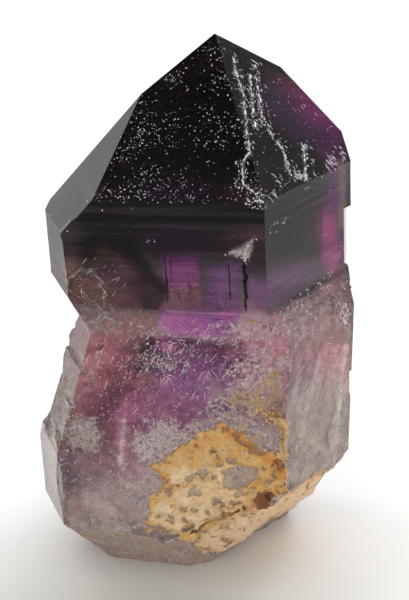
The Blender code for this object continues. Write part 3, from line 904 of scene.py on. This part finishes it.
def crack_fill(skin, material):
    """White ragged filling of the etched channels on the head, and the bruised skin beside them."""
    middles, along, sizes = [], [], []
    nearest = np.full(skin.count, np.inf)
    for path in CHANNELS:
        path = np.array(path)
        for start, end in zip(path, path[1:]):
            run = end - start
            reach = np.linalg.norm(run)
            count = int(reach / FILL_STEP)
            share = rng.random(count)[:, None]
            middles.append(start + run * share + rng.normal(0, 0.06, (count, 3)))
            along.append(np.tile(run / reach, (count, 1)) + rng.normal(0, 0.35, (count, 3)))
            sizes.append(rng.random(count))
            share = np.clip((skin.spots - start) @ run / reach ** 2, 0, 1)
            nearest = np.minimum(nearest, length(skin.spots - start - share[:, None] * run))
    middles, along, sizes = np.vstack(middles), np.vstack(along), np.concatenate(sizes)
    keep = noises(middles * 0.8) > -0.16
    middles, along, sizes = middles[keep], along[keep], sizes[keep]
    thick = 0.6 + 0.9 * np.clip(noises(middles * 1.7 + 5), -0.3, 0.6)
    lengths = np.column_stack((0.06 + 0.28 * sizes ** 2, 0.03 + 0.07 * sizes, 0.03 + 0.05 * sizes))
    lengths *= thick[:, None]

    patches = ramp(skin.grain(1.1, 34), 0.1, 0.4)
    weights = np.exp(-(nearest / 0.25) ** 2) + 0.3 * np.exp(-(nearest / 0.8) ** 2) * patches
    weights += 3 * np.exp(-(length(skin.spots - BRUISE) / 0.45) ** 2)
    spots, outward, across, up = scattered(skin, weights, BRUISE_FLAKES)
    size = 0.03 + 0.09 * rng.random(BRUISE_FLAKES) ** 2
    middles = np.vstack((middles, spots - outward * GRIT_SINK))
    along = np.vstack((along, turned(across, up, rng.normal(100, 30, BRUISE_FLAKES))))
    flat = np.column_stack((size * rng.uniform(1, 2.4, BRUISE_FLAKES), size * 0.6, size * 0.5))
    lengths = np.vstack((lengths, flat))
    grit("crack_fill", middles, along, rng.normal(0, 1, middles.shape), lengths, material)


def ticks(skin, material):
    """Short white scars down the right tip face and along its lower edge."""
    right_tip = skin.on_tip(RIGHT)
    edge = right_tip * (1 - ramp(np.abs(skin.spots[:, 2] - 55.3), 0.3, 1.3))
    streaks = 0.12 * right_tip * ramp(skin.grain(2, 33), 0.1, 0.5)
    weights = edge * ramp(skin.grain(1.2, 36) + 0.03 * (skin.spots[:, 0] - 14), -0.1, 0.25) + streaks
    middles, outward, across, up = scattered(skin, weights, TICKS)
    along = turned(across, up, rng.normal(103, 17, TICKS))
    size = rng.random(TICKS)
    lengths = np.column_stack((0.12 + 0.45 * size ** 2, 0.02 + 0.03 * size, 0.03 + 0.03 * size))
    grit("tip_scars", middles - outward * GRIT_SINK, along, outward, lengths, material)


def needles(skin, material):
    """Pale needles and hair scratches in the surface of the lower crystal and of the head's foot."""
    front = skin.towards(FRONT)
    dense = skin.oval(FRONT, 0, 33.2, 8.5, 3.2, 0.4, 0.3)
    hot = skin.oval(FRONT, -3, 32.6, 3, 2.4, 0.4, 0.3)
    low = 1 - ramp(skin.spots[:, 2], CREASE + 0.5, HEAD_LOW)
    stain = skin.oval(FRONT, -11.8, 43.2, 3.8, 3, 0.4, 0.3)
    clumps = ramp(skin.grain(1.3, 35), -0.3, 0.4)
    weights = (dense + 0.9 * hot) * clumps + 0.1 * low * front + 0.03 * low + 0.35 * stain
    weights = weights * (1 - skin.masks["rust"]) * (1 - skin.masks["hollow"])
    middles, outward, across, up = scattered(skin, weights, NEEDLES)
    angles = np.where(rng.random(NEEDLES) < 0.55, rng.normal(52, 16, NEEDLES), rng.uniform(0, 180, NEEDLES))
    size = rng.random(NEEDLES) ** 3
    lengths = np.column_stack((0.08 + 0.9 * size, 0.014 + 0.02 * size, 0.015 + 0.022 * size ** 2))
    grit("needles", middles - outward * 0.006, turned(across, up, angles), outward, lengths, material)


def flakes(skin, material):
    """Small bright cleavage flakes in the frosted and broken skin, and a crowd of them on the right
    shoulder as a painted highlight.
    """
    low = 1 - ramp(skin.spots[:, 2], CREASE + 1.5, HEAD_LOW)
    weights = (skin.masks["frost"] ** 2 + 0.1 * skin.broken + 0.02 + 0.1 * skin.towards(FRONT)) * low
    weights += 3 * skin.inside(CHIP, 0.2)
    # Painted highlight: white flakes crowd on the right shoulder to stand in for its bright glint
    weights += 2.2 * skin.oval(RIGHT, 8.6, 35.2, 1.3, 1.5, 0.4, 0.3)
    across, height = skin.on_face(RIGHT)
    glint = np.exp(-((across - GLINT[0]) / 0.8) ** 2 - ((height - GLINT[1]) / 1.1) ** 2)
    weights += 7 * glint * (skin.broad @ facing(RIGHT) > 0.2)
    weights += 1.2 * skin.oval(FRONT, -3.6, 33, 3.2, 2.2, 0.4, 0.4)
    weights += 1.5 * skin.oval(FRONT, -4.1, 49.3, 0.45, 0.45, 0.3, 0.2)
    for strength, *line in CREASES:
        weights += strength * skin.streak(*line)
    for name in ("rust", "hollow", "under"):
        weights = weights * (1 - skin.masks[name])
    middles, outward, across, up = scattered(skin, weights, FLAKES)
    along = turned(across, up, rng.uniform(0, 180, FLAKES)) + rng.normal(0, 0.25, (FLAKES, 3))
    size = 0.03 + 0.12 * rng.random(FLAKES) ** 3
    lengths = np.column_stack((size * rng.uniform(1, 1.7, FLAKES), size * 0.25, size))
    grit("frost_flakes_and_glint", middles - outward * GRIT_SINK, along, outward, lengths, material)


def dark_bars(material):
    """Dark upright inclusions just behind the head's front face."""
    middles, along, lengths = [], [], []
    for across, low, high, width, depth in BARS:
        for share in np.linspace(0, 1, BAR_LINKS):
            height = low + (high - low) * share
            middles.append((across + rng.normal(0, width * 0.35), depth - HEAD_FRONT, height))
            along.append((rng.normal(0, 0.06), 0, 1))
            half = (high - low) / BAR_LINKS * rng.uniform(0.7, 1.5)
            lengths.append((half, width * rng.uniform(0.5, 1.1), 0.06))
    for low_corner, high_corner, count in TWIGS:
        for _ in range(count):
            across, height = rng.uniform(low_corner, high_corner)
            middles.append((across, 0.05 - HEAD_FRONT, height))
            along.append((rng.normal(0.2, 0.6), 0, 1))
            lengths.append((0.08 + 0.4 * rng.random() ** 2, 0.025 + 0.03 * rng.random(), 0.03))
    sideways = np.tile((1, 0, 0), (len(middles), 1))
    grit("dark_inclusions", np.array(middles), np.array(along), sideways, lengths, material)


def rust_material():
    """Lumpy iron crust: ochre and orange, cream where it is thin, brown in the crevices."""
    paint = Paint("rust")
    fine, lumps = paint.grain(0.25, 5, 0.75), paint.grain(1.4, 4, 0.65, 0.6)
    color = paint.blend(paint.span(lumps, 0.36, 0.62), "sand", "ochre")
    pale = paint.times(paint.mask("cream"), paint.span(lumps, 0.62, 0.36, 0.35, 0.95))
    orange = paint.times(paint.mask("orange"), paint.span(fine, 0.35, 0.6, 0.25, 0.85))
    edge = paint.math("ADD", paint.mask("thick"), paint.span(fine, 0.3, 0.7, -0.12, 0.12))
    crevices = paint.span(paint.grain(0.8, 3, 0.6, 1.2), 0.34, 0.27, 0, 0.8)
    for share, name in (
            (pale, "cream"), (paint.times(paint.mask("under"), 0.9), "blush"), (orange, "orange"),
            (paint.span(fine, 0.56, 0.72, 0, 0.6), "cream"),
            (paint.span(fine, 0.4, 0.28, 0, 0.5), "rust"),
            (paint.span(edge, 0.17, 0, 0, 0.7), "rust"), (crevices, "brown"),
            (paint.times(paint.mask("hollow"), 0.9), "redbrown")):
        color = paint.blend(share, color, name)
    return paint.finish({"Base Color": color, "Roughness": 0.8, "Normal": paint.bump(fine, 0.9, 0.1),
                         "Specular IOR Level": 0.3})


def quartered(faces, values):
    """Triangles cut into four, and the points' values with those of the sides' middles added."""
    ends, which = numbered_sides(faces, len(values))
    a, b, c = faces.T
    ab, bc, ca = (len(values) + which).T
    pieces = [(a, ab, ca), (ab, b, bc), (ca, bc, c), (ab, bc, ca)]
    faces = np.vstack([np.column_stack(piece) for piece in pieces])
    return faces, np.vstack((values, values[ends].mean(axis=1)))


def compact(faces, values):
    """The triangles with only the points that they use."""
    used, local = np.unique(faces, return_inverse=True)
    return local.reshape(-1, 3), values[used]


def rust_crust(skin):
    """The crust of iron oxide over the scar: a closed lumpy skin, thin at its ragged rim."""
    found = skin.masks
    values = np.column_stack((skin.spots, skin.broad, *(found[name] for name in CRUST_MASKS)))
    faces, values = compact(skin.faces[(found["crust"][skin.faces] > CRUST_FROM).any(axis=1)], values)
    for _ in range(CRUST_CUTS):
        faces, values = quartered(faces, values)
    spots, columns = values[:, :3], dict(zip(CRUST_MASKS, values[:, 6:].T))

    def rough(size, seed):
        return noises(spots / size + seed * SEED_STEP)

    coarse, ridges, crumbs, dust = rough(1.6, 41), rough(0.8, 42), rough(0.4, 43), rough(0.2, 44)
    grains = ramp(crumbs + 0.6 * dust + 0.7 * coarse, 0.05, 0.3)
    crust = np.maximum(columns["crust"], 0.5 * columns["speckled"] * grains)
    crust = crust * (1 - 0.25 * columns["hollow"])
    lumps = 0.72 + 0.6 * coarse - 0.5 * np.abs(ridges) + 0.3 * ridges + 0.32 * crumbs + 0.16 * dust
    pits = np.zeros(len(spots))
    for across, height, radius in PITS:
        away = np.hypot(spots[:, 0] - across, spots[:, 2] - height) / radius
        pits = np.maximum(pits, np.exp(-(away + 0.8 * ridges + 0.5 * crumbs) ** 4))
    thick = (crust * 0.9 * lumps - 0.14) * (1 - pits) - 0.08 * pits
    faces, values = compact(faces[(thick[faces] > 0).all(axis=1)], np.column_stack((values, thick)))
    thick = values[:, -1]
    outer = values[:, :3] + values[:, 3:6] * thick[:, None]
    outer[:, 1] = np.maximum(outer[:, 1], FRONT_LIMIT)
    inner = values[:, :3] - values[:, 3:6] * CRUST_SINK
    sides = np.vstack((faces[:, [0, 1]], faces[:, [1, 2]], faces[:, [2, 0]]))
    known = set(map(tuple, sides.tolist()))
    rim = [side for side in sides.tolist() if (side[1], side[0]) not in known]
    count = len(values)
    walls = [(b, a, a + count, b + count) for a, b in rim]
    faces = faces.tolist() + (faces[:, ::-1] + count).tolist() + walls
    mesh = add_piece("rust_crust", np.vstack((outer, inner)), faces, rust_material())
    for name, layer_values in zip((*CRUST_MASKS, "thick"), values[:, 6:].T):
        layer = mesh.attributes.new(name, "FLOAT", "POINT")
        layer.data.foreach_set("value", np.tile(layer_values, 2).astype(np.float32))
    smooth(mesh)


photo_camera()
studio()
skin = crystal()
white = mineral("white_quartz", "white", "white", 0.3, 0.35, 0.05)
sparkles(skin, white)
crack_fill(skin, white)
ticks(skin, white)
needles(skin, mineral("needle_quartz", "white", "frost", 0.8, 0.3, 0.1))
flakes(skin, mineral("flake_quartz_and_glint", "white", "frost", 0.4, 0.25, 0.4))
dark_bars(mineral("dark_inclusion", "dusk", "black", 0.5, 0.5))
rust_crust(skin)
